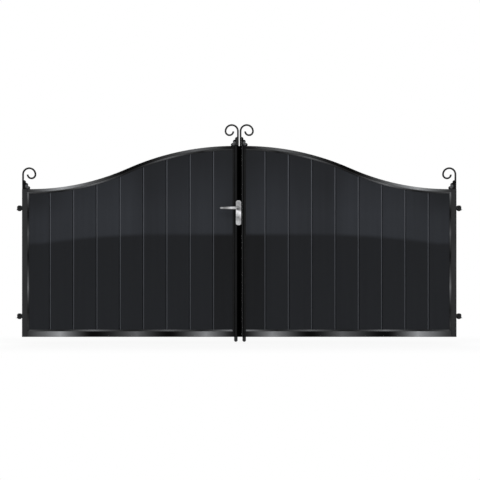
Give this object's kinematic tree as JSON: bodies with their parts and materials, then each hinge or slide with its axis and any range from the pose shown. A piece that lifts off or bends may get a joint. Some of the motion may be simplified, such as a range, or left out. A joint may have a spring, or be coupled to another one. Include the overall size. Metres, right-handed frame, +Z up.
{
  "type": "wrought iron driveway gate",
  "caption": "Pair of bell-top swing driveway gates with box-section frames, tongue-and-groove boarding, scroll finials, lever lock, drop bolts and hook-and-eye hinges.",
  "frame": {"origin": "middle of the weld face of the left lower hinge hook, where the assembly is fixed to the left post", "axes": "+X along the opening to the right hooks, +Y away from the viewer to the side the leaves open to, +Z up"},
  "size_m": [3.017, 0.144, 1.4705],
  "materials": {
    "gloss_black_frame": "gloss black paint",
    "matt_black_frame": "matt black paint",
    "black_hardware": "semi-gloss black paint",
    "satin_boards": "satin anthracite powder coat",
    "cast_gusset": "black painted casting",
    "satin_steel": "satin stainless steel",
    "seal_rubber": "matt black rubber"
  },
  "bodies": {
    "hinge_hooks": {"left_lower_hook": "black_hardware", "left_upper_hook": "black_hardware", "right_lower_hook": "black_hardware", "right_upper_hook": "black_hardware"},
    "left_leaf": {"left_hinge_stile": "gloss_black_frame", "left_meeting_stile": "gloss_black_frame", "lock_stile": "matt_black_frame", "left_bottom_rail": "gloss_black_frame", "left_top_rail": "gloss_black_frame", "left_board_channel": "gloss_black_frame", "left_boards": "satin_boards", "left_hinge_scroll": "gloss_black_frame", "left_hinge_gusset": "cast_gusset", "left_meeting_scroll": "gloss_black_frame", "left_meeting_gusset": "cast_gusset", "left_upper_eye": "black_hardware", "left_lower_eye": "black_hardware", "meeting_seal": "seal_rubber", "front_lock_plate": "satin_steel", "rear_lock_plate": "satin_steel", "key_cylinders": "satin_steel", "left_bolt_guides": "black_hardware"},
    "right_leaf": {"right_hinge_stile": "gloss_black_frame", "right_meeting_stile": "gloss_black_frame", "right_bottom_rail": "gloss_black_frame", "right_top_rail": "gloss_black_frame", "right_board_channel": "gloss_black_frame", "right_boards": "satin_boards", "right_hinge_scroll": "gloss_black_frame", "right_hinge_gusset": "cast_gusset", "right_meeting_scroll": "gloss_black_frame", "right_meeting_gusset": "cast_gusset", "right_upper_eye": "black_hardware", "right_lower_eye": "black_hardware", "right_bolt_guides": "black_hardware"},
    "lock_lever": {"front_lever": "satin_steel", "rear_lever": "satin_steel", "spindle": "satin_steel"},
    "left_bolt": {"left_drop_bolt": "black_hardware"},
    "right_bolt": {"right_drop_bolt": "black_hardware"}
  },
  "joints": [
    {"name": "left_leaf_swing", "type": "hinge", "parent": "hinge_hooks", "child": "left_leaf", "pos_m": [0.026, 0, 0], "axis": [0, 0, 1], "range_deg": [0, 90]},
    {"name": "right_leaf_swing", "type": "hinge", "parent": "hinge_hooks", "child": "right_leaf", "pos_m": [2.991, 0, 0], "axis": [0, 0, -1], "range_deg": [0, 90]},
    {"name": "lever_turn", "type": "hinge", "parent": "left_leaf", "child": "lock_lever", "pos_m": [1.5035, 0, 0.7392], "axis": [0, -1, 0], "range_deg": [0, 40], "stiffness_Nm_per_rad": 1.5, "springref_deg": -28.65},
    {"name": "left_bolt_lift", "type": "slide", "parent": "left_leaf", "child": "left_bolt", "axis": [0, 0, 1], "range_m": [0, 0.1]},
    {"name": "right_bolt_lift", "type": "slide", "parent": "right_leaf", "child": "right_bolt", "axis": [0, 0, 1], "range_m": [0, 0.1]}
  ]
}
